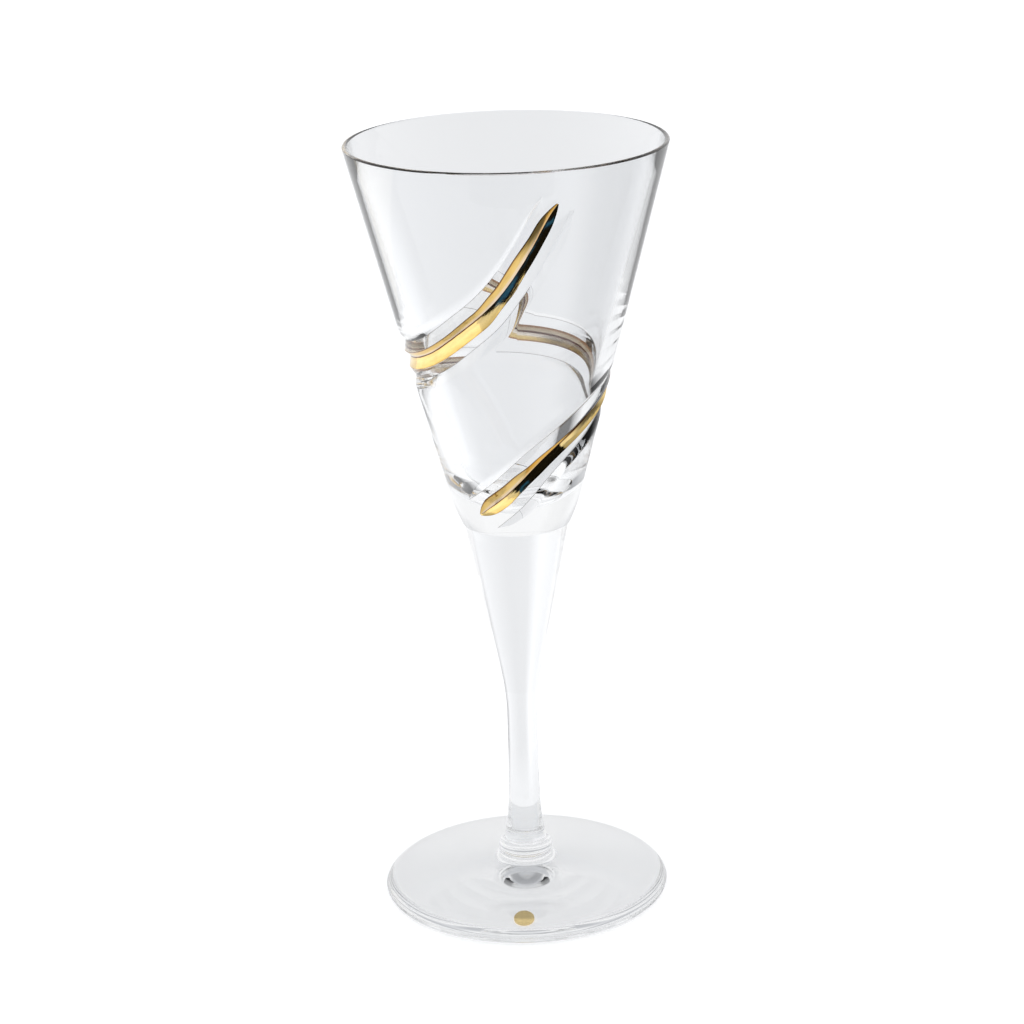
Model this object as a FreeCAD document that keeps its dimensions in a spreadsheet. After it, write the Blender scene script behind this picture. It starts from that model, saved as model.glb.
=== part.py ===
import FreeCAD, Part
import math
import os

import Sketcher
from FreeCAD import Placement, Rotation, Vector

# A stemmed drinking glass in clear crystal: a straight-sided conical bowl with a spiral of three
# cuts round it, the middle one lined with fired gold, on a solid drawn stem, a collar and a foot.
# Millimetres, +Z up, origin at the centre of the circle that the foot rests on.

doc = FreeCAD.newDocument("cut_stem_glass")

# ---------------------------------------------------------------- driving dimensions
sizes = doc.addObject("Spreadsheet::Sheet", "sizes")
DIMENSIONS = [
    # bowl
    ("rim_edge_height", 199.54),
    ("rim_radius", 40.2),
    ("rim_inner_radius", 39.0),
    ("rim_round", 0.62),
    ("shoulder_height", 110.0),
    ("shoulder_radius", 16.8),
    ("shoulder_curve", 47.0),
    ("bowl_base_height", 102.0),
    ("bowl_base_radius", 13.9),
    ("cavity_low_height", 118.5),
    ("cavity_low_radius", 14.1),
    ("cavity_floor_height", 108.1),
    ("cavity_curve", 14.75),
    # stem
    ("stem_top_radius", 13.4),
    ("taper_end_height", 61.0),
    ("taper_end_radius", 5.13),
    ("taper_curve", 64.0),
    ("waist_top_height", 48.4),
    ("waist_low_height", 40.0),
    ("waist_radius", 3.87),
    ("waist_curve", 330.0),
    ("flare_height", 26.0),
    ("flare_radius", 4.17),
    ("flare_curve", 55.0),
    ("stem_foot_radius", 5.7),
    # collar
    ("collar_top_height", 13.1),
    ("collar_top_radius", 5.8),
    ("collar_base_height", 9.4),
    ("collar_base_radius", 6.5),
    ("collar_curve", 2.45),
    # foot
    ("hub_radius", 6.9),
    ("hub_curve", 2.4),
    ("hub_foot_radius", 8.8),
    ("hub_foot_height", 8.15),
    ("foot_top_radius", 34.2),
    ("foot_top_height", 3.5),
    ("foot_radius", 37.3),
    ("foot_edge_height", 1.5),
    ("edge_top_curve", 3.6),
    ("edge_low_curve", 1.5),
    ("rest_outer_radius", 36.2),
    ("rest_inner_radius", 33.0),
    ("hollow_height", 1.2),
    ("hollow_curve", 454.35),
    # cuts
    ("gold_depth", 1.1),
    ("leaf_depth", 1.45),
    ("leaf_length", 20.0),
    ("gold_thickness", 0.15),
    ("upper_depth", 1.0),
    ("lower_depth", 0.9),
    ("wheel_rise", 1.0),
    ("wheel_lift", 0.4),
    ("tip_runout", 9.0),
    ("leaf_runout", 7.0),
    # seal
    ("seal_length", 7.0),
    ("seal_width", 5.2),
    ("seal_thickness", 0.1),
    ("seal_distance", 27.0),
    ("seal_side", -1.0),
]
# The spiral's way points: degrees turned to the left from the front, and height on the cone.
WAY_POINTS = [
    (-19.2, 193.2),
    (-9.5, 180.6),
    (3.5, 168.8),
    (23.8, 158.9),
    (46.3, 151.6),
    (75.0, 147.4),
    (120.0, 145.2),
    (180.0, 143.7),
    (225.0, 142.2),
    (270.0, 138.2),
    (310.7, 130.6),
    (341.3, 122.4),
    (362.3, 115.1),
    (396.5, 107.4),
]
# How each cut changes along the spiral: the distance from its upper end, how far the bottom of
# its V lies above the spiral, and the widths of the V's upper and lower flank.
CUT_SHAPES = {
    "gold": [
        (0, 0, 2.0, 1.3),
        (10, 0, 2.5, 1.6),
        (20, 0, 3.0, 1.65),
        (30, 0, 2.5, 2.2),
        (38, 0, 1.9, 3.2),
        (50, 0, 1.5, 3.3),
        (100, 0, 2.0, 2.3),
        (185, 0, 1.8, 2.0),
        (193, 0, 2.1, 2.1),
        (200, 0, 2.9, 1.8),
        (206, 0, 3.0, 2.2),
        (220, 0, 2.4, 2.2),
    ],
    "upper": [
        (0, 4.4, 1.4, 2.2),
        (18, 4.4, 1.6, 1.9),
        (30, 4.4, 2.4, 2.1),
        (40, 4.3, 2.7, 2.6),
        (55, 4.2, 2.7, 2.9),
        (100, 4.4, 2.5, 2.6),
        (185, 4.6, 2.3, 3.0),
        (202, 4.9, 2.2, 2.2),
        (220, 4.6, 2.0, 2.2),
    ],
    "lower": [
        (0, -4.7, 3.0, 1.9),
        (15, -4.7, 3.0, 2.1),
        (27, -4.7, 2.7, 2.3),
        (38, -5.4, 2.4, 3.0),
        (55, -5.6, 2.5, 2.9),
        (100, -5.2, 3.1, 2.7),
        (185, -5.4, 3.6, 2.4),
        (220, -5.4, 3.4, 2.4),
    ],
}
CUT_COLUMNS = {"from": "G", "offset": "H", "upper_width": "I", "lower_width": "J"}
for row, (alias, value) in enumerate(DIMENSIONS, start=1):
    sizes.set(f"A{row}", alias.replace("_", " "))
    sizes.set(f"B{row}", str(value))
    sizes.setAlias(f"B{row}", alias)
for row, (turn, height) in enumerate(WAY_POINTS, start=1):
    sizes.set(f"D{row}", str(turn))
    sizes.setAlias(f"D{row}", f"way_turn_{row}")
    sizes.set(f"E{row}", str(height))
    sizes.setAlias(f"E{row}", f"way_height_{row}")
row = 0
for cut, shape in CUT_SHAPES.items():
    for number, values in enumerate(shape, start=1):
        row += 1
        for (column_name, column), value in zip(CUT_COLUMNS.items(), values):
            sizes.set(f"{column}{row}", str(value))
            sizes.setAlias(f"{column}{row}", f"{cut}_{column_name}_{number}")
doc.recompute()


def size(alias):
    """The value of one cell of the sheet."""
    return float(getattr(sizes, alias))


# ---------------------------------------------------------------- turned pieces
START, END = 1, 2
AXIS_R, AXIS_Z = -1, -2


class Outline:
    """Half of a turned piece's section, drawn in the XZ plane of its own body: sketch x is the
    distance from the axis and sketch y the height. Each size is bound to a cell of the sheet."""

    def __init__(self, name):
        self.body = doc.addObject("PartDesign::Body", name)
        self.sketch = self.body.newObject("Sketcher::SketchObject", name + "_section")
        plane = [p for p in self.body.Origin.OriginFeatures if p.Role == "XZ_Plane"][0]
        self.sketch.AttachmentSupport = (plane, [""])
        self.sketch.MapMode = "FlatFace"
        self.edges = []

    def line(self, start, end):
        here = Vector(*start, 0)
        there = Vector(*end, 0)
        self.edges.append(self.sketch.addGeometry(Part.LineSegment(here, there), False))
        return self.edges[-1]

    def arc(self, start, end, radius, hollow=False):
        """An arc that bulges to the right of the way from start to end, or to the left if hollow."""
        here = Vector(*start, 0)
        there = Vector(*end, 0)
        chord = there - here
        side = Vector(chord.y, -chord.x, 0).normalize() * (-1 if hollow else 1)
        sagitta = radius - math.sqrt(radius**2 - (chord.Length / 2) ** 2)
        middle = (here + there) * 0.5 + side * sagitta
        self.edges.append(self.sketch.addGeometry(Part.Arc(here, middle, there), False))
        return self.edges[-1]

    def ends(self, edge, start, end):
        """Which of an edge's own ends lies at start and which at end: an arc runs anticlockwise."""
        first = self.sketch.getPoint(edge, START)
        near = first.distanceToPoint(Vector(*start, 0)) < first.distanceToPoint(Vector(*end, 0))
        return (START, END) if near else (END, START)

    def bind(self, kind, alias, *where):
        index = self.sketch.addConstraint(Sketcher.Constraint(kind, *where, size(alias)))
        self.sketch.setExpression(f"Constraints[{index}]", f"sizes.{alias}")

    def place(self, edge, end, radius=None, height=None):
        """Ties one end of an edge to a radius and a height. A radius of None is the turning axis,
        and a height of None is the level that the foot rests on."""
        if radius is None:
            self.sketch.addConstraint(Sketcher.Constraint("PointOnObject", edge, end, AXIS_Z))
        else:
            self.bind("DistanceX", radius, AXIS_R, START, edge, end)
        if height is None:
            self.sketch.addConstraint(Sketcher.Constraint("PointOnObject", edge, end, AXIS_R))
        else:
            self.bind("DistanceY", height, AXIS_R, START, edge, end)

    def join(self, edge, end, other, other_end):
        self.sketch.addConstraint(Sketcher.Constraint("Coincident", edge, end, other, other_end))

    def turn(self, angle):
        revolution = self.body.newObject("PartDesign::Revolution", self.body.Name + "_turned")
        revolution.Profile = self.sketch
        revolution.ReferenceAxis = (self.sketch, ["V_Axis"])
        revolution.Angle = angle
        self.body.Tip = revolution
        return self.body


def turned(name, corners, curves, angle=360):
    """A turned piece from its corners in order round the section. A corner is a pair of aliases
    (radius, height), where None is zero. curves gives, for the corner that a curved edge starts
    from, the alias of its radius and whether it is hollow."""
    outline = Outline(name)
    values = [tuple(size(a) if a else 0.0 for a in corner) for corner in corners]
    count = len(corners)
    edges = []
    for i in range(count):
        start, end = values[i], values[(i + 1) % count]
        if i in curves:
            alias, hollow = curves[i]
            edge = outline.arc(start, end, size(alias), hollow)
            outline.bind("Radius", alias, edge)
        else:
            edge = outline.line(start, end)
        edges.append((edge, *outline.ends(edge, start, end)))
    for i in range(count):
        edge, first, _ = edges[i]
        before, _, last = edges[i - 1]
        outline.join(before, last, edge, first)
        outline.place(edge, first, *corners[i])
    return outline.turn(angle)


BOWL_CORNERS = [
    (None, "bowl_base_height"),
    ("bowl_base_radius", "bowl_base_height"),
    ("shoulder_radius", "shoulder_height"),
    ("rim_radius", "rim_edge_height"),
    ("rim_inner_radius", "rim_edge_height"),
    ("cavity_low_radius", "cavity_low_height"),
    (None, "cavity_floor_height"),
]
BOWL_CURVES = {1: ("shoulder_curve", False), 3: ("rim_round", False), 5: ("cavity_curve", True)}
# Quarter turns, so that no face closes on itself where the spiral crosses it.
QUARTER_TURN = 90
bowl_quarters = []
for number in range(360 // QUARTER_TURN):
    body = turned(f"bowl_quarter_{number + 1}", BOWL_CORNERS, BOWL_CURVES, QUARTER_TURN)
    body.Placement = Placement(Vector(0, 0, 0), Rotation(Vector(0, 0, 1), QUARTER_TURN * number))
    bowl_quarters.append(body)
stem = turned(
    "stem",
    [
        (None, "collar_top_height"),
        ("stem_foot_radius", "collar_top_height"),
        ("flare_radius", "flare_height"),
        ("waist_radius", "waist_low_height"),
        ("waist_radius", "waist_top_height"),
        ("taper_end_radius", "taper_end_height"),
        ("stem_top_radius", "bowl_base_height"),
        (None, "bowl_base_height"),
    ],
    {1: ("flare_curve", True), 2: ("waist_curve", True), 4: ("taper_curve", True)},
)
collar = turned(
    "collar",
    [
        (None, "collar_base_height"),
        ("collar_base_radius", "collar_base_height"),
        ("collar_top_radius", "collar_top_height"),
        (None, "collar_top_height"),
    ],
    {1: ("collar_curve", False)},
)
foot = turned(
    "foot",
    [
        (None, "hollow_height"),
        ("rest_inner_radius", None),
        ("rest_outer_radius", None),
        ("foot_radius", "foot_edge_height"),
        ("foot_top_radius", "foot_top_height"),
        ("hub_foot_radius", "hub_foot_height"),
        ("hub_radius", "collar_base_height"),
        (None, "collar_base_height"),
    ],
    {
        0: ("hollow_curve", True),
        2: ("edge_low_curve", False),
        3: ("edge_top_curve", False),
        5: ("hub_curve", True),
    },
)


# ---------------------------------------------------------------- the spiral of cuts
STATIONS = 100
STRETCHES = 10
# A flank's corners outward from the bottom of its V: the share of the flank's width, and the share
# of the V's depth that is left there. The last corner lies above the glass.
STRAIGHT_FLANK = [(1.15, -0.15)]
SOFT_FLANK = [(0.35, 0.52), (0.7, 0.16), (1.15, -0.08)]
CONE_SLOPE = (size("rim_radius") - size("shoulder_radius")) / (
    size("rim_edge_height") - size("shoulder_height")
)


def cone_radius(height):
    return size("rim_radius") - CONE_SLOPE * (size("rim_edge_height") - height)


def on_cone(turn, height):
    """The point of the cone at a turn to the left of the front, which faces -Y."""
    angle = math.radians(turn)
    radius = cone_radius(height)
    return Vector(-radius * math.sin(angle), -radius * math.cos(angle), height)


def cone_normal(turn):
    angle = math.radians(turn)
    return Vector(-math.sin(angle), -math.cos(angle), -CONE_SLOPE).normalize()


def way_sides(way):
    """For each station, the direction on the cone square to the way, on its upper side."""
    sides = []
    for i, (turn, _) in enumerate(way):
        ahead = on_cone(*way[min(i + 1, len(way) - 1)])
        behind = on_cone(*way[max(i - 1, 0)])
        sides.append((ahead - behind).cross(cone_normal(turn)).normalize())
    return sides


def gone_along(way):
    """The distance from the start of the way to each station."""
    points = [on_cone(*station) for station in way]
    gone = [0.0]
    for here, there in zip(points, points[1:]):
        gone.append(gone[-1] + here.distanceToPoint(there))
    return gone


def moved(way, shifts):
    """The stations of a way, each moved sideways over the cone by its own shift."""
    result = []
    for (turn, height), side, shift in zip(way, way_sides(way), shifts):
        angle = math.radians(turn)
        around = Vector(-math.cos(angle), math.sin(angle), 0)
        swing = shift * side.dot(around) / cone_radius(height)
        result.append((turn + math.degrees(swing), height + shift * side.z))
    return result


def spiral_way():
    """Stations (turn, height) along the smooth curve through the way points."""
    numbers = range(1, len(WAY_POINTS) + 1)
    curve = Part.BSplineCurve()
    curve.interpolate([Vector(size(f"way_turn_{i}"), size(f"way_height_{i}"), 0) for i in numbers])
    start = curve.FirstParameter
    length = curve.LastParameter - start
    stations = [curve.value(start + length * i / STATIONS) for i in range(STATIONS + 1)]
    return [(station.x, station.y) for station in stations]


def cut_shape(cut, column_name, gone):
    """One of a cut's columns, read smoothly at the distances along the spiral in gone."""
    numbers = range(1, len(CUT_SHAPES[cut]) + 1)
    places = [size(f"{cut}_from_{i}") for i in numbers]
    values = [size(f"{cut}_{column_name}_{i}") for i in numbers]
    result = []
    for distance in gone:
        i = max(k for k in range(len(places) - 1) if k == 0 or places[k] <= distance)
        share = min(1.0, (distance - places[i]) / (places[i + 1] - places[i]))
        share = share**2 * (3 - 2 * share)
        result.append(values[i] + (values[i + 1] - values[i]) * share)
    return result


def wheel_depths(gone, depth, end_depth):
    """At each distance, the full depth of the V and the depth that the wheel reaches. The wheel
    comes down into the glass in a curve, may go deeper near the end, and lifts out in a curve."""
    depths = []
    for distance in gone:
        left = gone[-1] - distance
        full = depth + (end_depth - depth) * max(0.0, 1 - left / size("leaf_length"))
        lift = max(0.0, 1 - distance / size("tip_runout")) ** 2
        lift += max(0.0, 1 - left / size("leaf_runout")) ** 2
        depths.append((full, full - lift * (full + size("wheel_lift"))))
    return depths


def flank_shift(thickness, upper_spread, lower_spread):
    """How far the bottom of a V moves sideways and up when both flanks rise by thickness."""
    upper_rise = thickness * math.hypot(1, 1 / upper_spread)
    lower_rise = thickness * math.hypot(1, 1 / lower_spread)
    sideways = (lower_rise - upper_rise) / (1 / upper_spread + 1 / lower_spread)
    return sideways, upper_rise + sideways / upper_spread


def section_corners(full, down, upper, lower, thickness):
    """The corners round a wheel's section, as distances to the upper side and depths below the
    cone. upper and lower are pairs of a width and a flank."""
    flanks = []
    for width, flank in (upper, lower):
        corners = [(width * share, full * (left - 1) + down) for share, left in flank]
        edge_distance, edge_depth = corners[-1]
        corners.append((edge_distance, edge_depth - size("wheel_rise")))
        flanks.append(corners)
    upper_corners, lower_corners = flanks
    corners = [(0.0, down)] + upper_corners
    corners += [(-distance, deep) for distance, deep in reversed(lower_corners)]
    sideways, up = flank_shift(thickness, upper[0] / full, lower[0] / full)
    return [(distance + sideways, deep - up) for distance, deep in corners]


def swept_solid(rows, places):
    """A closed solid between smooth curves through the rows of points, at the same places."""
    curves = []
    for row in rows:
        curve = Part.BSplineCurve()
        curve.interpolate(Points=row, Parameters=places)
        curves.append(curve)
    faces = []
    for i in range(STRETCHES):
        edges = [c.toShape(i / STRETCHES, (i + 1) / STRETCHES) for c in curves]
        faces += [Part.makeRuledSurface(edges[k - 1], edges[k]) for k in range(len(edges))]
    for end in (0, -1):
        first, *others = [row[end] for row in rows]
        for here, there in zip(others, others[1:]):
            faces.append(Part.Face(Part.makePolygon([first, here, there, first])))
    shell = Part.makeShell(faces)
    shell.sewShape()
    return Part.makeSolid(Part.Shell(shell.Faces))


def wheel_sweep(cut, depth, end_depth, upper_flank, lower_flank, thickness=0.0):
    """The solid that a cut's wheel sweeps along the spiral, closed above the glass. thickness
    leaves a layer of that thickness on both flanks."""
    way = spiral_way()
    gone = gone_along(way)
    upper_widths = cut_shape(cut, "upper_width", gone)
    lower_widths = cut_shape(cut, "lower_width", gone)
    way = moved(way, cut_shape(cut, "offset", gone))
    gone = gone_along(way)
    sections = []
    for i, (full, down) in enumerate(wheel_depths(gone, depth, end_depth)):
        upper = (upper_widths[i], upper_flank)
        lower = (lower_widths[i], lower_flank)
        sections.append(section_corners(full, down, upper, lower, thickness))
    rows = []
    for corner in zip(*sections):
        corner_way = moved(way, [distance for distance, _ in corner])
        rows.append([
            on_cone(turn, height) - cone_normal(turn) * deep
            for (turn, height), (_, deep) in zip(corner_way, corner)
        ])
    return swept_solid(rows, [distance / gone[-1] for distance in gone])


def tool(name, solid):
    result = doc.addObject("Part::Feature", name)
    result.Shape = solid
    return result


GOLD_V = ("gold", size("gold_depth"), size("leaf_depth"), STRAIGHT_FLANK, STRAIGHT_FLANK)
UPPER_V = ("upper", size("upper_depth"), size("upper_depth"), SOFT_FLANK, STRAIGHT_FLANK)
LOWER_V = ("lower", size("lower_depth"), size("lower_depth"), STRAIGHT_FLANK, SOFT_FLANK)
gold_wheel = tool("gold_wheel", wheel_sweep(*GOLD_V))
lining_wheel = tool("lining_wheel", wheel_sweep(*GOLD_V, size("gold_thickness")))
upper_wheel = tool("upper_wheel", wheel_sweep(*UPPER_V))
lower_wheel = tool("lower_wheel", wheel_sweep(*LOWER_V))


# ---------------------------------------------------------------- cutting, gilding and sealing
def combine(kind, name, base, tool):
    """A boolean of two objects of the document, kept as its own object."""
    result = doc.addObject(kind, name)
    result.Base = base
    result.Tool = tool
    return result


bowl_blank = doc.addObject("Part::MultiFuse", "bowl_blank")
bowl_blank.Shapes = bowl_quarters
bowl_gold_cut = combine("Part::Cut", "bowl_gold_cut", bowl_blank, gold_wheel)
bowl_upper_cut = combine("Part::Cut", "bowl_upper_cut", bowl_gold_cut, upper_wheel)
bowl = combine("Part::Cut", "bowl", bowl_upper_cut, lower_wheel)

gold_filling = combine("Part::Common", "gold_filling", bowl_blank, gold_wheel)
gold_lining = combine("Part::Cut", "gold_lining", gold_filling, lining_wheel)
gold_trimmed = combine("Part::Cut", "gold_trimmed", gold_lining, upper_wheel)
gold_band = combine("Part::Cut", "gold_band", gold_trimmed, lower_wheel)

# The seal is a thin oval of gold fired on the hollow underside of the foot.
seal_oval = doc.addObject("Part::Ellipse", "seal_oval")
seal_oval.setExpression("MajorRadius", "sizes.seal_length / 2")
seal_oval.setExpression("MinorRadius", "sizes.seal_width / 2")
seal_oval.Placement = Placement(
    Vector(size("seal_side"), -size("seal_distance"), 0), Rotation(Vector(0, 0, 1), 90)
)
seal_prism = doc.addObject("Part::Extrusion", "seal_prism")
seal_prism.Base = seal_oval
seal_prism.DirMode = "Custom"
seal_prism.Dir = Vector(0, 0, 1)
seal_prism.setExpression("LengthFwd", "sizes.hollow_height")
seal_prism.Solid = True
hollow_corners = [(None, None), ("rest_inner_radius", None), (None, "hollow_height")]
under_foot, under_seal = [
    turned(name, hollow_corners, {1: ("hollow_curve", False)})
    for name in ("under_foot", "under_seal")
]
under_seal.Placement = Placement(Vector(0, 0, -size("seal_thickness")), Rotation())
seal_blank = combine("Part::Common", "seal_blank", seal_prism, under_foot)
gold_seal = combine("Part::Cut", "gold_seal", seal_blank, under_seal)


# ---------------------------------------------------------------- checks and files
doc.recompute()
NODES = (bowl, stem, collar, foot, gold_band, gold_seal)
for thing in doc.Objects:
    faults = [state for state in thing.State if state in ("Invalid", "Error")]
    if faults:
        raise RuntimeError(f"{thing.Name} is {faults}")
os.makedirs("parts", exist_ok=True)
for node in NODES:
    shape = node.Shape
    if shape.isNull() or not shape.isValid() or len(shape.Solids) != 1:
        raise RuntimeError(f"{node.Name} isn't one valid solid")
    node.Label = node.Name
    shape.exportStep(f"parts/{node.Label}.step")
    box = shape.optimalBoundingBox()
    print(f"{node.Label}: {shape.Volume:.1f} mm3, z {box.ZMin:.2f} to {box.ZMax:.2f}")
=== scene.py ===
import math

import bpy
import numpy as np
from mathutils import Matrix, Vector


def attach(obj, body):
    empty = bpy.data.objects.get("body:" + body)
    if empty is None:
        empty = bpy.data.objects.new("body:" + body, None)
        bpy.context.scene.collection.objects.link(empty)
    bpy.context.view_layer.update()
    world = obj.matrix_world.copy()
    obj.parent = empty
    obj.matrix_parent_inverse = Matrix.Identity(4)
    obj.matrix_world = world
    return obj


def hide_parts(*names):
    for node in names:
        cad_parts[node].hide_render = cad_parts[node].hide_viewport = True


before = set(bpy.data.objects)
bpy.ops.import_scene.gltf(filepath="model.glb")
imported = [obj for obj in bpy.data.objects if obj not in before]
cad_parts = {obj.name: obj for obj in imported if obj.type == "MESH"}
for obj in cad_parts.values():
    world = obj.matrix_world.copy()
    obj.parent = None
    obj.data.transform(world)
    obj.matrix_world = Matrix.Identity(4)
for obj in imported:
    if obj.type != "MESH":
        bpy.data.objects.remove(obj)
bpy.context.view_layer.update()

# ================================================================ floor
# A wide sheet of white board that runs far out behind the glass. It is lit from behind as well
# as from above, so that it is nearly white and keeps only a soft, pale shadow.
FLOOR_SIZE = 16.0
FLOOR_WHITE = (0.93, 0.935, 0.94, 1)
FLOOR_GLOW = 0.66
FLOOR_GAP = 0.00006
# Shares of a turn round the foot, from the front by way of the right, and the tone of the painted
# shade on the board there, which shows when it is seen through the glass or lights it.
SHADE_TURN = math.radians(-90)
SHADE_TONES = [
    (0.0, 0.75), (0.1, 0.9), (0.15, 0.9), (0.2, 0.3), (0.22, 0.12), (0.3, 0.12), (0.33, 0.5),
    (0.37, 0.85), (0.42, 0.79), (0.475, 0.73), (0.525, 0.74), (0.56, 0.93), (0.66, 0.95),
    (0.75, 0.8), (0.9, 0.75), (1.0, 0.75),
]
# The tone of the painted shadow under and just round the foot, and where it gives way to the others.
NEAR_SHADOW_TONE = 0.82
NEAR_RADIUS = 0.045
FAR_RADIUS = 0.09

bpy.ops.object.select_all(action="DESELECT")
bpy.ops.mesh.primitive_plane_add(size=FLOOR_SIZE, location=(0, 0, -FLOOR_GAP))
floor = bpy.context.object
floor.name = "studio_floor"
white_board = bpy.data.materials.new("white_board")
white_board.use_nodes = True
nodes, links = white_board.node_tree.nodes, white_board.node_tree.links
board = nodes["Principled BSDF"]
board.inputs["Roughness"].default_value = 0.9
board.inputs["Specular IOR Level"].default_value = 0.1
board.inputs["Emission Strength"].default_value = FLOOR_GLOW
# Through the glass, and in the light it gives, the board is darkened with painted shade to the right
# and a little straight behind, which draws the edges of the clear pieces. Looked at directly it is
# plain white.
place = nodes.new("ShaderNodeTexCoord")
turn = nodes.new("ShaderNodeMapping")
turn.inputs["Rotation"].default_value = (0, 0, SHADE_TURN)
links.new(place.outputs["Object"], turn.inputs["Vector"])
around = nodes.new("ShaderNodeTexGradient")
around.gradient_type = "RADIAL"
links.new(turn.outputs["Vector"], around.inputs["Vector"])
shade = nodes.new("ShaderNodeValToRGB")
for position, _ in SHADE_TONES[1:-1]:
    shade.color_ramp.elements.new(position)
for mark, (_, tone) in zip(shade.color_ramp.elements, SHADE_TONES):
    mark.color = (tone, tone, tone, 1)
links.new(around.outputs["Fac"], shade.inputs["Fac"])
away = nodes.new("ShaderNodeVectorMath")
away.operation = "LENGTH"
links.new(place.outputs["Object"], away.inputs[0])
near = nodes.new("ShaderNodeMapRange")
near.inputs["From Min"].default_value = NEAR_RADIUS
near.inputs["From Max"].default_value = FAR_RADIUS
links.new(away.outputs["Value"], near.inputs["Value"])
# Under and just round the foot, the board seen through the glass is darkened with a painted shadow.
through = nodes.new("ShaderNodeMix")
through.data_type = "RGBA"
links.new(near.outputs["Result"], through.inputs["Factor"])
through.inputs["A"].default_value = (NEAR_SHADOW_TONE, NEAR_SHADOW_TONE, NEAR_SHADOW_TONE, 1)
links.new(shade.outputs["Color"], through.inputs["B"])
rays = nodes.new("ShaderNodeLightPath")
seen = nodes.new("ShaderNodeMix")
seen.data_type = "RGBA"
links.new(rays.outputs["Is Camera Ray"], seen.inputs["Factor"])
links.new(through.outputs["Result"], seen.inputs["A"])
seen.inputs["B"].default_value = FLOOR_WHITE
links.new(seen.outputs["Result"], board.inputs["Base Color"])
links.new(seen.outputs["Result"], board.inputs["Emission Color"])
floor.data.materials.append(white_board)

# ================================================================ bowl
# The bowl is blown and pressed clear crystal: a straight cone with a thick bottom that narrows
# to the stem. Its rim is cut and melted round, and its bottom is fused to the top of the stem.
MM = 0.001
STEPS_ROUND = 320
RIM_EDGE_HEIGHT = 199.54 * MM
RIM_RADIUS = 40.2 * MM
RIM_INNER_RADIUS = 39.0 * MM
SHOULDER_HEIGHT = 110.0 * MM
SHOULDER_RADIUS = 16.8 * MM
BOWL_BASE = (13.9 * MM, 102.0 * MM)
CAVITY_LOW = (14.1 * MM, 118.5 * MM)
CAVITY_FLOOR = (0.0, 108.1 * MM)
STEM_TOP_RADIUS = 13.4 * MM
SHOULDER_CURVE = 47 * MM
RIM_CURVE = 0.62 * MM
CAVITY_CURVE = 14.75 * MM
WALL_RINGS = 14
MERGE_GAP = 0.002 * MM


def curved(start, end, radius, count, hollow=False):
    """The points of an arc after its start. It bulges to the right of the way, or left if hollow."""
    start, end = Vector(start), Vector(end)
    chord = end - start
    side = Vector((chord.y, -chord.x)).normalized() * (-1 if hollow else 1)
    reach = math.sqrt(radius**2 - (chord.length / 2) ** 2)
    centre = (start + end) / 2 - side * reach
    first = start - centre
    sweep = 2 * math.asin(chord.length / 2 / radius) * (-1 if hollow else 1)
    return [tuple(centre + Matrix.Rotation(sweep * i / count, 2) @ first) for i in range(1, count + 1)]


def straight(start, end, count):
    """The points of a straight stretch after its start."""
    return [tuple(Vector(start).lerp(Vector(end), i / count)) for i in range(1, count + 1)]


def turned(name, outline):
    """A turned piece: one vertex is extruded along the outline (radius, height) and spun."""
    bpy.ops.object.select_all(action="DESELECT")
    bpy.ops.mesh.primitive_plane_add(size=MM)
    piece = bpy.context.object
    piece.name = piece.data.name = name
    bpy.ops.object.mode_set(mode="EDIT")
    bpy.ops.mesh.merge(type="CENTER")
    radius, height = outline[0]
    bpy.ops.transform.translate(value=(radius, 0, height))
    for (radius, height), (next_radius, next_height) in zip(outline, outline[1:]):
        step = (next_radius - radius, 0, next_height - height)
        bpy.ops.mesh.extrude_region_move(TRANSFORM_OT_translate={"value": step})
    bpy.ops.mesh.select_all(action="SELECT")
    bpy.ops.mesh.spin(steps=STEPS_ROUND, angle=math.tau, center=(0, 0, 0), axis=(0, 0, 1))
    bpy.ops.mesh.select_all(action="SELECT")
    bpy.ops.mesh.remove_doubles(threshold=MERGE_GAP)
    bpy.ops.mesh.normals_make_consistent(inside=False)
    bpy.ops.object.mode_set(mode="OBJECT")
    return piece


bowl_outline = [(0.0, BOWL_BASE[1]), (STEM_TOP_RADIUS, BOWL_BASE[1]), BOWL_BASE]
bowl_outline += curved(bowl_outline[-1], (SHOULDER_RADIUS, SHOULDER_HEIGHT), SHOULDER_CURVE, 10)
bowl_outline += straight(bowl_outline[-1], (RIM_RADIUS, RIM_EDGE_HEIGHT), WALL_RINGS)
bowl_outline += curved(bowl_outline[-1], (RIM_INNER_RADIUS, RIM_EDGE_HEIGHT), RIM_CURVE, 12)
bowl_outline += straight(bowl_outline[-1], CAVITY_LOW, WALL_RINGS)
bowl_outline += curved(bowl_outline[-1], CAVITY_FLOOR, CAVITY_CURVE, 16, hollow=True)
bowl = turned("bowl_glass", bowl_outline)


# The surface of every piece of crystal: a tint and a shine that cloud a very little, and the slow
# waves that a tool leaves in hot glass.
CLOUD_SCALE = 38.0
CLOUD_TINT = 0.992
SMUDGE = 0.012
glass_surface = bpy.data.node_groups.new("hot_glass_surface", "ShaderNodeTree")
for label, kind in (
    ("Tint", "NodeSocketColor"),
    ("Roughness", "NodeSocketFloat"),
    ("Wave Scale", "NodeSocketFloat"),
    ("Wave Stretch", "NodeSocketVector"),
    ("Wave Height", "NodeSocketFloat"),
):
    glass_surface.interface.new_socket(label, in_out="INPUT", socket_type=kind)
for label, kind in (
    ("Colour", "NodeSocketColor"),
    ("Roughness", "NodeSocketFloat"),
    ("Normal", "NodeSocketVector"),
):
    glass_surface.interface.new_socket(label, in_out="OUTPUT", socket_type=kind)
nodes, links = glass_surface.nodes, glass_surface.links
given = nodes.new("NodeGroupInput")
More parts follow.
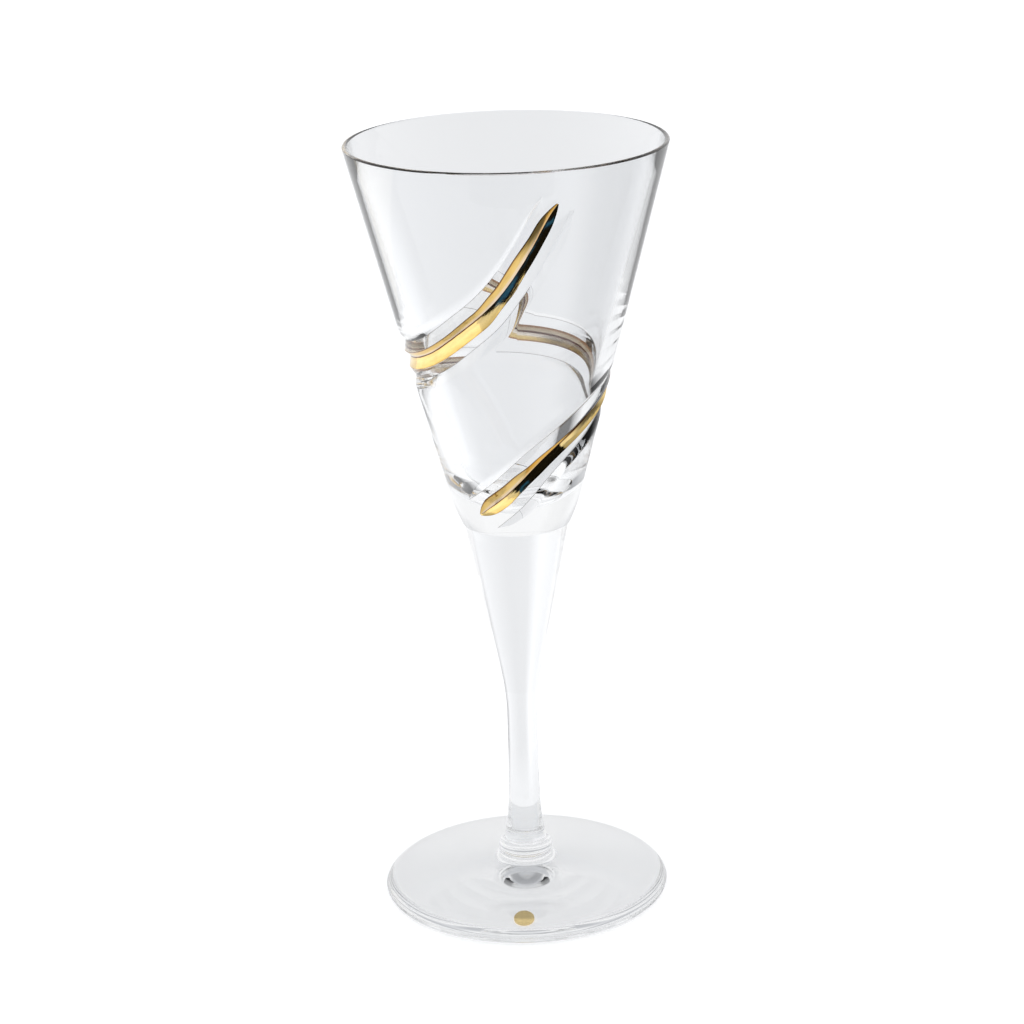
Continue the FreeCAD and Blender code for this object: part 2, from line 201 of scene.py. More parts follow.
result = nodes.new("NodeGroupOutput")
place = nodes.new("ShaderNodeTexCoord")
cloud = nodes.new("ShaderNodeTexNoise")
cloud.inputs["Scale"].default_value = CLOUD_SCALE
cloud.inputs["Detail"].default_value = 2.0
links.new(place.outputs["Object"], cloud.inputs["Vector"])
fade = nodes.new("ShaderNodeMapRange")
fade.inputs["From Min"].default_value = 0.3
fade.inputs["From Max"].default_value = 0.7
fade.inputs["To Min"].default_value = CLOUD_TINT
fade.inputs["To Max"].default_value = 1.0
links.new(cloud.outputs["Fac"], fade.inputs["Value"])
faded = nodes.new("ShaderNodeMix")
faded.data_type = "RGBA"
faded.blend_type = "MULTIPLY"
faded.inputs["Factor"].default_value = 1.0
links.new(given.outputs["Tint"], faded.inputs["A"])
links.new(fade.outputs["Result"], faded.inputs["B"])
links.new(faded.outputs["Result"], result.inputs["Colour"])
smudge = nodes.new("ShaderNodeMapRange")
smudge.inputs["From Min"].default_value = 0.45
smudge.inputs["From Max"].default_value = 0.75
smudge.inputs["To Min"].default_value = 0.0
smudge.inputs["To Max"].default_value = SMUDGE
links.new(cloud.outputs["Fac"], smudge.inputs["Value"])
dulled = nodes.new("ShaderNodeMath")
dulled.operation = "ADD"
links.new(given.outputs["Roughness"], dulled.inputs[0])
links.new(smudge.outputs["Result"], dulled.inputs[1])
links.new(dulled.outputs["Value"], result.inputs["Roughness"])
stretch = nodes.new("ShaderNodeMapping")
links.new(place.outputs["Object"], stretch.inputs["Vector"])
links.new(given.outputs["Wave Stretch"], stretch.inputs["Scale"])
waves = nodes.new("ShaderNodeTexNoise")
waves.inputs["Detail"].default_value = 1.5
waves.inputs["Roughness"].default_value = 0.4
links.new(stretch.outputs["Vector"], waves.inputs["Vector"])
links.new(given.outputs["Wave Scale"], waves.inputs["Scale"])
bump = nodes.new("ShaderNodeBump")
bump.inputs["Strength"].default_value = 1.0
links.new(given.outputs["Wave Height"], bump.inputs["Distance"])
links.new(waves.outputs["Fac"], bump.inputs["Height"])
links.new(bump.outputs["Normal"], result.inputs["Normal"])


def crystal(name, tint, rough, wave_scale, wave_stretch, wave_height):
    """Clear lead crystal. Its tint, its shine and its waves are the only things that vary."""
    material = bpy.data.materials.new(name)
    material.use_nodes = True
    nodes, links = material.node_tree.nodes, material.node_tree.links
    glass = nodes["Principled BSDF"]
    glass.inputs["Transmission Weight"].default_value = 1.0
    glass.inputs["IOR"].default_value = 1.53
    glass.inputs["Metallic"].default_value = 0.0
    surface = nodes.new("ShaderNodeGroup")
    surface.node_tree = glass_surface
    surface.inputs["Tint"].default_value = (*tint, 1)
    surface.inputs["Roughness"].default_value = rough
    surface.inputs["Wave Scale"].default_value = wave_scale
    surface.inputs["Wave Stretch"].default_value = wave_stretch
    surface.inputs["Wave Height"].default_value = wave_height
    links.new(surface.outputs["Colour"], glass.inputs["Base Color"])
    links.new(surface.outputs["Roughness"], glass.inputs["Roughness"])
    links.new(surface.outputs["Normal"], glass.inputs["Normal"])
    return material


blown_crystal = crystal("blown_crystal", (0.965, 0.972, 0.98), 0.0, 60, (1, 1, 0.25), 0.03 * MM)
bowl.data.materials.append(blown_crystal)

# ================================================================ fused joints
# The pieces of glass are pressed together hot and melt into one another, so that nothing is seen
# of the faces where they meet: light goes straight through them.
JOINT_TOLERANCE = 0.01 * MM
fused_joint = bpy.data.materials.new("fused_joint")
fused_joint.use_nodes = True
fused_joint.node_tree.nodes["Principled BSDF"].inputs["Alpha"].default_value = 0.0


def fuse(piece, height, radius):
    """Gives the faces that lie in a joint, at a height and within a radius, the joint's finish."""
    piece.data.materials.append(fused_joint)
    slot = len(piece.data.materials) - 1
    for face in piece.data.polygons:
        flat = all(abs(piece.data.vertices[i].co.z - height) < JOINT_TOLERANCE for i in face.vertices)
        inside = Vector(face.center[:2]).length < radius
        if flat and inside:
            face.material_index = slot


fuse(bowl, BOWL_BASE[1], STEM_TOP_RADIUS)

# ================================================================ cuts
# Three cuts run round the bowl side by side, from near the rim down to its bottom. A wheel grinds
# each of them as a V that comes in and goes out in a curve, and they are polished afterwards.
CONE_SLOPE = (RIM_RADIUS - SHOULDER_RADIUS) / (RIM_EDGE_HEIGHT - SHOULDER_HEIGHT)
# Degrees turned to the left of the front, and height on the cone in millimetres.
WAY_POINTS = [
    (-19.2, 193.2), (-9.5, 180.6), (3.5, 168.8), (23.8, 158.9), (46.3, 151.6), (75.0, 147.4),
    (120.0, 145.2), (180.0, 143.7), (225.0, 142.2), (270.0, 138.2), (310.7, 130.6),
    (341.3, 122.4), (362.3, 115.1), (396.5, 107.4),
]
STATIONS = 420
GOLD_DEPTH = 1.1 * MM
UPPER_DEPTH = 1.0 * MM
LOWER_DEPTH = 0.9 * MM
# At its lower end the middle cut widens and deepens to a leaf.
LEAF_DEPTH = 1.45 * MM
LEAF_LENGTH = 20 * MM
# How each V changes along the spiral, in millimetres: the distance from its upper end, how far
# its bottom lies above the spiral, and the widths of its upper and its lower flank.
GOLD_SHAPE = [
    (0, 0, 2.0, 1.3), (10, 0, 2.5, 1.6), (20, 0, 3.0, 1.65), (30, 0, 2.5, 2.2), (38, 0, 1.9, 3.2),
    (50, 0, 1.5, 3.3), (100, 0, 2.0, 2.3), (185, 0, 1.8, 2.0), (193, 0, 2.1, 2.1),
    (200, 0, 2.9, 1.8), (206, 0, 3.0, 2.2), (220, 0, 2.4, 2.2),
]
UPPER_SHAPE = [
    (0, 4.4, 1.4, 2.2), (18, 4.4, 1.6, 1.9), (30, 4.4, 2.4, 2.1), (40, 4.3, 2.7, 2.6),
    (55, 4.2, 2.7, 2.9), (100, 4.4, 2.5, 2.6), (185, 4.6, 2.3, 3.0), (202, 4.9, 2.2, 2.2),
    (220, 4.6, 2.0, 2.2),
]
LOWER_SHAPE = [
    (0, -4.7, 3.0, 1.9), (15, -4.7, 3.0, 2.1), (27, -4.7, 2.7, 2.3), (38, -5.4, 2.4, 3.0),
    (55, -5.6, 2.5, 2.9), (100, -5.2, 3.1, 2.7), (185, -5.4, 3.6, 2.4), (220, -5.4, 3.4, 2.4),
]
# How hollow the gold's flanks are, and how the soft flanks of the clear cuts fade into the wall.
GOLD_HOLLOW = 0.055
SOFT_END = 0.12
SOFT_POWER = 1.6
# The unpolished line along the bottom of the clear cuts, matt and darkened with painted shade: its
# share of a flank and its start.
MATT_AND_SHADE_SHARE = 0.03
MATT_AND_SHADE_FROM = 24 * MM
# How far the wheel reaches past its flanks and above the wall, and how it lifts out at the ends.
FLANK_ROWS = 11
WHEEL_REACH = 1.15
WHEEL_RISE = 1.0 * MM
WHEEL_LIFT = 0.4 * MM
TIP_RUNOUT = 9 * MM
LEAF_RUNOUT = 7 * MM
CUT_EDGE_ANGLE = math.radians(16)


def smooth_way(points, count):
    """A natural cubic curve through the points, read at count + 1 evenly spaced places."""
    points = np.array(points)
    gaps = np.hypot(*np.diff(points, axis=0).T)
    knots = np.concatenate([[0], np.cumsum(gaps)])
    last = len(points) - 1
    matrix = np.eye(last + 1)
    right = np.zeros_like(points)
    for i in range(1, last):
        matrix[i, i - 1 : i + 2] = gaps[i - 1], 2 * (gaps[i - 1] + gaps[i]), gaps[i]
        slope_after = (points[i + 1] - points[i]) / gaps[i]
        slope_before = (points[i] - points[i - 1]) / gaps[i - 1]
        right[i] = 6 * (slope_after - slope_before)
    bends = np.linalg.solve(matrix, right)
    places = np.linspace(0, knots[-1], count + 1)
    i = np.clip(np.searchsorted(knots, places, side="right") - 1, 0, last - 1)
    gap, ahead, gone = gaps[i, None], (knots[i + 1] - places)[:, None], (places - knots[i])[:, None]
    curve = (bends[i] * ahead**3 + bends[i + 1] * gone**3) / (6 * gap)
    curve += (points[i] / gap - bends[i] * gap / 6) * ahead
    return curve + (points[i + 1] / gap - bends[i + 1] * gap / 6) * gone


def cone_radius(height):
    return RIM_RADIUS - CONE_SLOPE * (RIM_EDGE_HEIGHT - height)


def on_cone(way):
    """Points of the cone at turns to the left of the front, which faces -Y, and heights."""
    radius = cone_radius(way[:, 1])
    return np.stack([-radius * np.sin(way[:, 0]), -radius * np.cos(way[:, 0]), way[:, 1]], 1)


def unit(rows):
    return rows / np.linalg.norm(rows, axis=1, keepdims=True)


def cone_normals(way):
    level = np.full(len(way), -CONE_SLOPE)
    return unit(np.stack([-np.sin(way[:, 0]), -np.cos(way[:, 0]), level], 1))


def way_sides(way):
    """At each station, the direction on the cone square to the way, on its upper side."""
    return unit(np.cross(np.gradient(on_cone(way), axis=0), cone_normals(way)))


def gone_along(points):
    steps = np.linalg.norm(np.diff(points, axis=0), axis=1)
    return np.concatenate([[0], np.cumsum(steps)])


def eased(rows, gone):
    """The columns of rows after the first, which change smoothly with the distance in the first."""
    rows = np.array(rows) * MM
    i = np.clip(np.searchsorted(rows[:, 0], gone, side="right") - 1, 0, len(rows) - 2)
    share = ((gone - rows[i, 0]) / (rows[i + 1, 0] - rows[i, 0]))[:, None]
    share = share**2 * (3 - 2 * share)
    return (rows[i, 1:] * (1 - share) + rows[i + 1, 1:] * share).T


def moved(way, shift):
    """The stations of a way, each moved sideways over the cone by its shift."""
    sides = way_sides(way)
    around = np.stack([-np.cos(way[:, 0]), np.sin(way[:, 0])], 1)
    swing = shift * (sides[:, :2] * around).sum(1) / cone_radius(way[:, 1])
    return way + np.stack([swing, shift * sides[:, 2]], 1)


def straight_flank(share):
    """The depth of a flank, as a share of the V's, at a share of the flank's width from its bottom."""
    return 1 - share


def hollow_flank(share):
    return (1 - share) * (1 + 4 * GOLD_HOLLOW * share)


def soft_flank(share):
    return SOFT_END * (1 - share) + (1 - SOFT_END) * np.clip(1 - share, 0, None) ** SOFT_POWER


class WheelTrack:
    """What a wheel grinds at each station: where the bottom of its V runs, how wide its flanks
    are, its full depth and the depth that is left where it lifts out at the ends."""

    def __init__(self, shape, depth, end_depth, upper_flank, lower_flank):
        way = smooth_way(WAY_POINTS, STATIONS) * (math.radians(1), MM)
        offset, upper_width, lower_width = eased(shape, gone_along(on_cone(way)))
        self.way = moved(way, offset)
        self.gone = gone_along(on_cone(self.way))
        left = self.gone[-1] - self.gone
        self.full = depth + (end_depth - depth) * np.clip(1 - left / LEAF_LENGTH, 0, None)
        lift = np.clip(1 - self.gone / TIP_RUNOUT, 0, None) ** 2
        lift += np.clip(1 - left / LEAF_RUNOUT, 0, None) ** 2
        self.down = self.full - lift * (self.full + WHEEL_LIFT)
        self.flanks = {1: (upper_width, upper_flank), -1: (-lower_width, lower_flank)}

    def row(self, side, share, rise=0.0):
        """A row of points along one flank, or above it by a rise."""
        width, flank = self.flanks[side]
        way = moved(self.way, width * share)
        deep = self.full * (flank(share) - 1) + self.down - rise
        return on_cone(way) - cone_normals(way) * deep[:, None]


def mesh_piece(name, points, faces):
    mesh = bpy.data.meshes.new(name)
    mesh.from_pydata([tuple(p) for p in points], [], faces)
    piece = bpy.data.objects.new(name, mesh)
    bpy.context.scene.collection.objects.link(piece)
    return piece


def wheel_sweep(name, track, matt_and_shade_bottom=False):
    """The closed solid that a wheel sweeps as it follows its track, closed above the glass. The felt
    doesn't reach the very bottom of a clear cut, which stays matt beyond its shallow tip and is
    darkened there with painted shade."""
    shares = [0, MATT_AND_SHADE_SHARE] + [WHEEL_REACH * i / FLANK_ROWS for i in range(1, FLANK_ROWS)]
    shares.append(WHEEL_REACH)
    rows = [track.row(1, WHEEL_REACH, WHEEL_RISE)]
    rows += [track.row(1, share) for share in shares[::-1]]
    rows += [track.row(-1, share) for share in shares[1:]]
    rows += [track.row(-1, WHEEL_REACH, WHEEL_RISE)]
    count = len(rows)
    corners = np.stack(rows, 1).reshape(-1, 3)
    faces = []
    for i in range(STATIONS):
        for k in range(count):
            a, b = count * i + k, count * i + (k + 1) % count
            faces.append((a, b, b + count, a + count))
    last = count * STATIONS
    faces += [tuple(range(count - 1, -1, -1)), tuple(range(last, last + count))]
    piece = mesh_piece(name, corners, faces)
    piece.data.materials.append(polished_cut)
    piece.data.materials.append(matt_and_shade_line)
    for i in range(STATIONS if matt_and_shade_bottom else 0):
        if track.gone[i] > MATT_AND_SHADE_FROM:
            for k in (FLANK_ROWS + 1, FLANK_ROWS + 2):
                piece.data.polygons[i * count + k].material_index = 1
    bpy.ops.object.select_all(action="DESELECT")
    piece.select_set(True)
    bpy.context.view_layer.objects.active = piece
    bpy.ops.object.mode_set(mode="EDIT")
    bpy.ops.mesh.select_all(action="SELECT")
    bpy.ops.mesh.normals_make_consistent(inside=False)
    bpy.ops.object.mode_set(mode="OBJECT")
    return piece


# The matt line at the bottom of the clear cuts is tinted dark grey, as painted shade in the crease.
matt_and_shade_line = crystal("matt_and_shade_line", (0.3, 0.29, 0.28), 0.35, 400, (1, 1, 1), 0.01 * MM)
polished_cut = crystal("polished_cut", (0.97, 0.975, 0.98), 0.004, 220, (1, 1, 1), 0.012 * MM)
gold_track = WheelTrack(GOLD_SHAPE, GOLD_DEPTH, LEAF_DEPTH, hollow_flank, hollow_flank)
upper_track = WheelTrack(UPPER_SHAPE, UPPER_DEPTH, UPPER_DEPTH, soft_flank, straight_flank)
lower_track = WheelTrack(LOWER_SHAPE, LOWER_DEPTH, LOWER_DEPTH, straight_flank, soft_flank)
wheels = [
    wheel_sweep("gold_wheel", gold_track),
    wheel_sweep("upper_wheel", upper_track, matt_and_shade_bottom=True),
    wheel_sweep("lower_wheel", lower_track, matt_and_shade_bottom=True),
]
bpy.ops.object.select_all(action="DESELECT")
bowl.select_set(True)
bpy.context.view_layer.objects.active = bowl
for wheel in wheels:
    cut = bowl.modifiers.new(wheel.name, "BOOLEAN")
    cut.operation = "DIFFERENCE"
    cut.solver = "EXACT"
    cut.material_mode = "TRANSFER"
    cut.object = wheel
    bpy.ops.object.modifier_apply(modifier=cut.name)
    bpy.data.objects.remove(wheel)
bpy.ops.object.shade_smooth_by_angle(angle=CUT_EDGE_ANGLE)
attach(bowl, "root")
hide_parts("bowl")

# ================================================================ gold band
# Bright gold paint is brushed into the middle cut and fired on. It is thin, it follows the two
# flanks of the V nearly up to the lips, and it thins out where the cut runs out at its ends.
GOLD_SINK = 0.03 * MM
LIP_SHARE = 0.96
GOLD_RISE = 0.1 * MM
UPPER_ROWS = 12
LOWER_ROWS = 8
PAINT_STARTS_AT = 0.02 * MM
FULL_PAINT_AT = 0.25 * MM
BAND_EDGE_ANGLE = math.radians(25)

painted = gold_track.down > PAINT_STARTS_AT
gone = gold_track.gone[painted]
gone = (gone - gone[0]) / (gone[-1] - gone[0])
steps = np.linspace(0, 1, 101)
lips = np.interp(1 - gold_track.down / gold_track.full, hollow_flank(steps)[::-1], steps[::-1])
rows, row_v = [], []
for side, count in ((1, UPPER_ROWS), (-1, LOWER_ROWS)):
    shares = [LIP_SHARE * i / count for i in range(1, count + 1)]
    for share in shares[::-1] if side > 0 else shares:
        rows.append(gold_track.row(side, lips * share)[painted])
        row_v.append(0.5 + 0.5 * side * share / LIP_SHARE)
    if side > 0:
        rows.append(gold_track.row(side, 0.0)[painted])
        row_v.append(0.5)
rows = np.stack(rows, 1)
count_along, count_across = rows.shape[:2]
row_out = np.cross(np.gradient(rows, axis=0), np.gradient(rows, axis=1))
row_out /= np.linalg.norm(row_out, axis=2, keepdims=True)
row_out *= np.sign((row_out * cone_normals(gold_track.way)[painted][:, None]).sum(2, keepdims=True))
edge_taper = np.minimum(1, gold_track.down[painted] / FULL_PAINT_AT)[:, None, None]
outer = rows + row_out * GOLD_RISE * edge_taper
inner = rows - row_out * GOLD_SINK
corners = np.concatenate([outer.reshape(-1, 3), inner.reshape(-1, 3)])
under = count_along * count_across
faces = []
for i in range(count_along - 1):
    for k in range(count_across - 1):
        a = i * count_across + k
        b = a + count_across
        faces.append((a, b, b + 1, a + 1))
        faces.append((under + a, under + a + 1, under + b + 1, under + b))
    a = i * count_across
    b = a + count_across
    faces.append((a, under + a, under + b, b))
    a, b = a + count_across - 1, b + count_across - 1
    faces.append((a, b, under + b, under + a))
for start, turn in ((0, -1), (under - count_across, 1)):
    for k in range(count_across - 1):
        a = start + k
        faces.append((a, under + a, under + a + 1, a + 1)[::turn])
gold_band = mesh_piece("fired_gold_band", corners, faces)
gold_uv = gold_band.data.uv_layers.new(name="along_and_across")
for loop in gold_band.data.loops:
    place = loop.vertex_index % under
    station, row = divmod(place, count_across)
    gold_uv.data[loop.index].uv = (gone[station], row_v[row])


# Streaks that the brush leaves along the paint. They move its stripes a little from side to side.
STREAK_STRETCH = (60, 7, 1)
WANDER = 0.06
STREAK_DULLS = 0.07
PAINT_RELIEF = 0.02 * MM
brush_streaks = bpy.data.node_groups.new("brush_streaks", "ShaderNodeTree")
for label, kind in (
    ("Streak", "NodeSocketFloat"),
    ("Across", "NodeSocketFloat"),
    ("Tone", "NodeSocketFloat"),
    ("Normal", "NodeSocketVector"),
):
    brush_streaks.interface.new_socket(label, in_out="OUTPUT", socket_type=kind)
nodes, links = brush_streaks.nodes, brush_streaks.links
result = nodes.new("NodeGroupOutput")
uv = nodes.new("ShaderNodeUVMap")
uv.uv_map = "along_and_across"
stretch = nodes.new("ShaderNodeMapping")
stretch.inputs["Scale"].default_value = STREAK_STRETCH
links.new(uv.outputs["UV"], stretch.inputs["Vector"])
streak = nodes.new("ShaderNodeTexNoise")
streak.inputs["Scale"].default_value = 1.0
streak.inputs["Detail"].default_value = 3.0
links.new(stretch.outputs["Vector"], streak.inputs["Vector"])
links.new(streak.outputs["Fac"], result.inputs["Streak"])
split = nodes.new("ShaderNodeSeparateXYZ")
links.new(uv.outputs["UV"], split.inputs["Vector"])
wander = nodes.new("ShaderNodeMath")
wander.operation = "MULTIPLY_ADD"
wander.inputs[1].default_value = WANDER
links.new(streak.outputs["Fac"], wander.inputs[0])
links.new(split.outputs["Y"], wander.inputs[2])
links.new(wander.outputs["Value"], result.inputs["Across"])
tone = nodes.new("ShaderNodeMapRange")
tone.inputs["From Min"].default_value = 0.3
tone.inputs["From Max"].default_value = 0.6
tone.inputs["To Min"].default_value = 0.84
tone.inputs["To Max"].default_value = 1.0
links.new(streak.outputs["Fac"], tone.inputs["Value"])
links.new(tone.outputs["Result"], result.inputs["Tone"])
bump = nodes.new("ShaderNodeBump")
bump.inputs["Strength"].default_value = 1.0
bump.inputs["Distance"].default_value = PAINT_RELIEF
links.new(streak.outputs["Fac"], bump.inputs["Height"])
links.new(bump.outputs["Normal"], result.inputs["Normal"])


def fired_gold(name, stripes, rough):
    """Bright fired gold. The stripes (place from the lower lip to the upper, colour) show how
    thick the paint lies across the band. On the outer face they also hold a painted reflection
    across the flanks and a painted shade along the valley."""
    material = bpy.data.materials.new(name)
    material.use_nodes = True
    nodes, links = material.node_tree.nodes, material.node_tree.links
    metal = nodes["Principled BSDF"]
    metal.inputs["Metallic"].default_value = 1.0
    brush = nodes.new("ShaderNodeGroup")
    brush.node_tree = brush_streaks
    across = nodes.new("ShaderNodeValToRGB")
    for place, _ in stripes[1:-1]:
        across.color_ramp.elements.new(place + WANDER / 2)
    for mark, (_, colour) in zip(across.color_ramp.elements, stripes):
        mark.color = (*colour, 1)
    links.new(brush.outputs["Across"], across.inputs["Fac"])
    mix = nodes.new("ShaderNodeMix")
    mix.data_type = "RGBA"
    mix.blend_type = "MULTIPLY"
    mix.inputs["Factor"].default_value = 1.0
    links.new(across.outputs["Color"], mix.inputs["A"])
    links.new(brush.outputs["Tone"], mix.inputs["B"])
    links.new(mix.outputs["Result"], metal.inputs["Base Color"])
    shine = nodes.new("ShaderNodeMapRange")
    shine.inputs["To Min"].default_value = rough
    shine.inputs["To Max"].default_value = rough + STREAK_DULLS
    links.new(brush.outputs["Streak"], shine.inputs["Value"])
    links.new(shine.outputs["Result"], metal.inputs["Roughness"])
    links.new(brush.outputs["Normal"], metal.inputs["Normal"])
    return material


# On the outer face, the paler and deeper gold across each flank is a painted reflection, and the dark
# brown along the valley is painted shade.
LIP_BROWN = (0.26, 0.13, 0.05)
VALLEY_SHADE_BROWN = (0.1, 0.04, 0.02)
BRIGHT_PAINT_AND_REFLECTION_STRIPES = [
    (0.0, LIP_BROWN), (0.05, (0.78, 0.56, 0.2)), (0.3, (0.86, 0.66, 0.3)), (0.44, (0.84, 0.62, 0.26)),
    (0.465, VALLEY_SHADE_BROWN), (0.5, VALLEY_SHADE_BROWN), (0.52, (0.86, 0.7, 0.55)), (0.62, (0.84, 0.65, 0.42)),
    (0.7, (0.82, 0.58, 0.22)), (0.93, (0.78, 0.52, 0.16)), (1.0, LIP_BROWN),
]
# From behind, through the glass, the paint shows its copper-brown lips and a pale middle.
COPPER = (0.5, 0.25, 0.12)
CREAM = (1.0, 0.9, 0.78)
DEEP_BROWN = (0.16, 0.05, 0.03)
UNDER_STRIPES = [
    (0.0, COPPER), (0.05, COPPER), (0.1, (0.85, 0.62, 0.25)), (0.28, (0.9, 0.68, 0.32)),
    (0.34, CREAM), (0.49, CREAM), (0.53, DEEP_BROWN), (0.61, DEEP_BROWN),
    (0.65, (0.9, 0.76, 0.56)), (0.84, (0.8, 0.62, 0.42)), (0.9, COPPER), (1.0, COPPER),
]
bright_gold = fired_gold("bright_gold", BRIGHT_PAINT_AND_REFLECTION_STRIPES, 0.03)
gold_underside = fired_gold("gold_underside", UNDER_STRIPES, 0.2)
gold_band.data.materials.append(bright_gold)
gold_band.data.materials.append(gold_underside)
for face in gold_band.data.polygons:
    face.material_index = int(min(face.vertices) >= under)
bpy.ops.object.select_all(action="DESELECT")
gold_band.select_set(True)
bpy.context.view_layer.objects.active = gold_band
bpy.ops.object.shade_smooth_by_angle(angle=BAND_EDGE_ANGLE)
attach(gold_band, "root")
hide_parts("gold_band")

# ================================================================ stem
# The stem is drawn solid from a gather of hot glass. It tapers from the bowl to a thin waist and
# flares a little where it is set down on the collar.
COLLAR_TOP_HEIGHT = 13.1 * MM
STEM_FOOT_RADIUS = 5.7 * MM
FLARE = (4.17 * MM, 26 * MM)
WAIST_LOW = (3.87 * MM, 40 * MM)
WAIST_TOP = (3.87 * MM, 48.4 * MM)
TAPER_END = (5.13 * MM, 61 * MM)
FLARE_CURVE = 55 * MM
WAIST_LOW_CURVE = 330 * MM
WAIST_TOP_CURVE = 64 * MM
TURNED_EDGE_ANGLE = math.radians(30)

stem_outline = [(0.0, COLLAR_TOP_HEIGHT), (STEM_FOOT_RADIUS, COLLAR_TOP_HEIGHT)]
stem_outline += curved(stem_outline[-1], FLARE, FLARE_CURVE, 12, hollow=True)
stem_outline += curved(FLARE, WAIST_LOW, WAIST_LOW_CURVE, 6, hollow=True)
stem_outline += straight(WAIST_LOW, WAIST_TOP, 4)
stem_outline += curved(WAIST_TOP, TAPER_END, WAIST_TOP_CURVE, 14, hollow=True)
stem_outline += straight(TAPER_END, (STEM_TOP_RADIUS, BOWL_BASE[1]), 12)
stem_outline += [(0.0, BOWL_BASE[1])]
stem = turned("stem_glass", stem_outline)
drawn_crystal = crystal("drawn_crystal", (0.95, 0.958, 0.967), 0.0, 90, (1, 1, 0.12), 0.02 * MM)
stem.data.materials.append(drawn_crystal)
fuse(stem, BOWL_BASE[1], STEM_TOP_RADIUS)
fuse(stem, COLLAR_TOP_HEIGHT, STEM_FOOT_RADIUS)
bpy.ops.object.shade_smooth_by_angle(angle=TURNED_EDGE_ANGLE)
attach(stem, "root")
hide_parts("stem")

# ================================================================ collar
# A small button of clear glass between the stem and the foot, pressed flat enough to bulge. It
# is fused to both.
COLLAR_BASE_HEIGHT = 9.4 * MM
COLLAR_BASE_RADIUS = 6.5 * MM
COLLAR_TOP_RADIUS = 5.8 * MM
COLLAR_CURVE = 2.45 * MM

collar_outline = [(0.0, COLLAR_BASE_HEIGHT), (COLLAR_BASE_RADIUS, COLLAR_BASE_HEIGHT)]
collar_top = (COLLAR_TOP_RADIUS, COLLAR_TOP_HEIGHT)
collar_outline += curved(collar_outline[-1], collar_top, COLLAR_CURVE, 24)
collar_outline += [(STEM_FOOT_RADIUS, COLLAR_TOP_HEIGHT), (0.0, COLLAR_TOP_HEIGHT)]
collar = turned("collar_glass", collar_outline)
collar.data.materials.append(drawn_crystal)
fuse(collar, COLLAR_TOP_HEIGHT, STEM_FOOT_RADIUS)
fuse(collar, COLLAR_BASE_HEIGHT, COLLAR_BASE_RADIUS)
bpy.ops.object.shade_smooth_by_angle(angle=TURNED_EDGE_ANGLE)
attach(collar, "root")
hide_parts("collar")

# ================================================================ foot
# The foot is spun out flat from a second gather. It rises to a hub under the collar, has a melted
# edge, and is slightly hollow below, so that it stands on a narrow ring.
HUB_RADIUS = 6.9 * MM
HUB_FOOT = (8.8 * MM, 8.15 * MM)
FOOT_TOP = (34.2 * MM, 3.5 * MM)
FOOT_EDGE = (37.3 * MM, 1.5 * MM)
REST_OUTER_RADIUS = 36.2 * MM
REST_INNER_RADIUS = 33 * MM
HOLLOW_HEIGHT = 1.2 * MM
HOLLOW_CURVE = 454.35 * MM
EDGE_LOW_CURVE = 1.5 * MM
EDGE_TOP_CURVE = 3.6 * MM
HUB_CURVE = 2.4 * MM

foot_outline = [(0.0, HOLLOW_HEIGHT)]
foot_outline += curved(foot_outline[-1], (REST_INNER_RADIUS, 0.0), HOLLOW_CURVE, 16, hollow=True)
foot_outline += [(REST_OUTER_RADIUS, 0.0)]
foot_outline += curved(foot_outline[-1], FOOT_EDGE, EDGE_LOW_CURVE, 20)
foot_outline += curved(FOOT_EDGE, FOOT_TOP, EDGE_TOP_CURVE, 24)
foot_outline += straight(FOOT_TOP, HUB_FOOT, 10)
foot_outline += curved(HUB_FOOT, (HUB_RADIUS, COLLAR_BASE_HEIGHT), HUB_CURVE, 16, hollow=True)
foot_outline += [(COLLAR_BASE_RADIUS, COLLAR_BASE_HEIGHT), (0.0, COLLAR_BASE_HEIGHT)]
foot = turned("foot_glass", foot_outline)
spun_crystal = crystal("spun_crystal", (0.95, 0.957, 0.965), 0.0, 45, (1, 1, 1), 0.012 * MM)
foot.data.materials.append(spun_crystal)
fuse(foot, COLLAR_BASE_HEIGHT, COLLAR_BASE_RADIUS)
bpy.ops.object.shade_smooth_by_angle(angle=TURNED_EDGE_ANGLE)
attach(foot, "root")
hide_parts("foot")

# ================================================================ gold seal
# A plain oval of gold paint, fired to the hollow underside of the foot near its front edge. It
# bends with the glass and sinks a hair into it.
SEAL_LENGTH = 7 * MM
SEAL_WIDTH = 5.2 * MM
SEAL_PLACE = (-1 * MM, -27 * MM)
SEAL_THICKNESS = 0.1 * MM
SEAL_SINK = 0.02 * MM
# Where the seal lies in the band's streaks and stripes: in a plain gold part of them.
SEAL_ALONG = 0.1
SEAL_ACROSS = 0.3
SEAL_SPREAD = 8

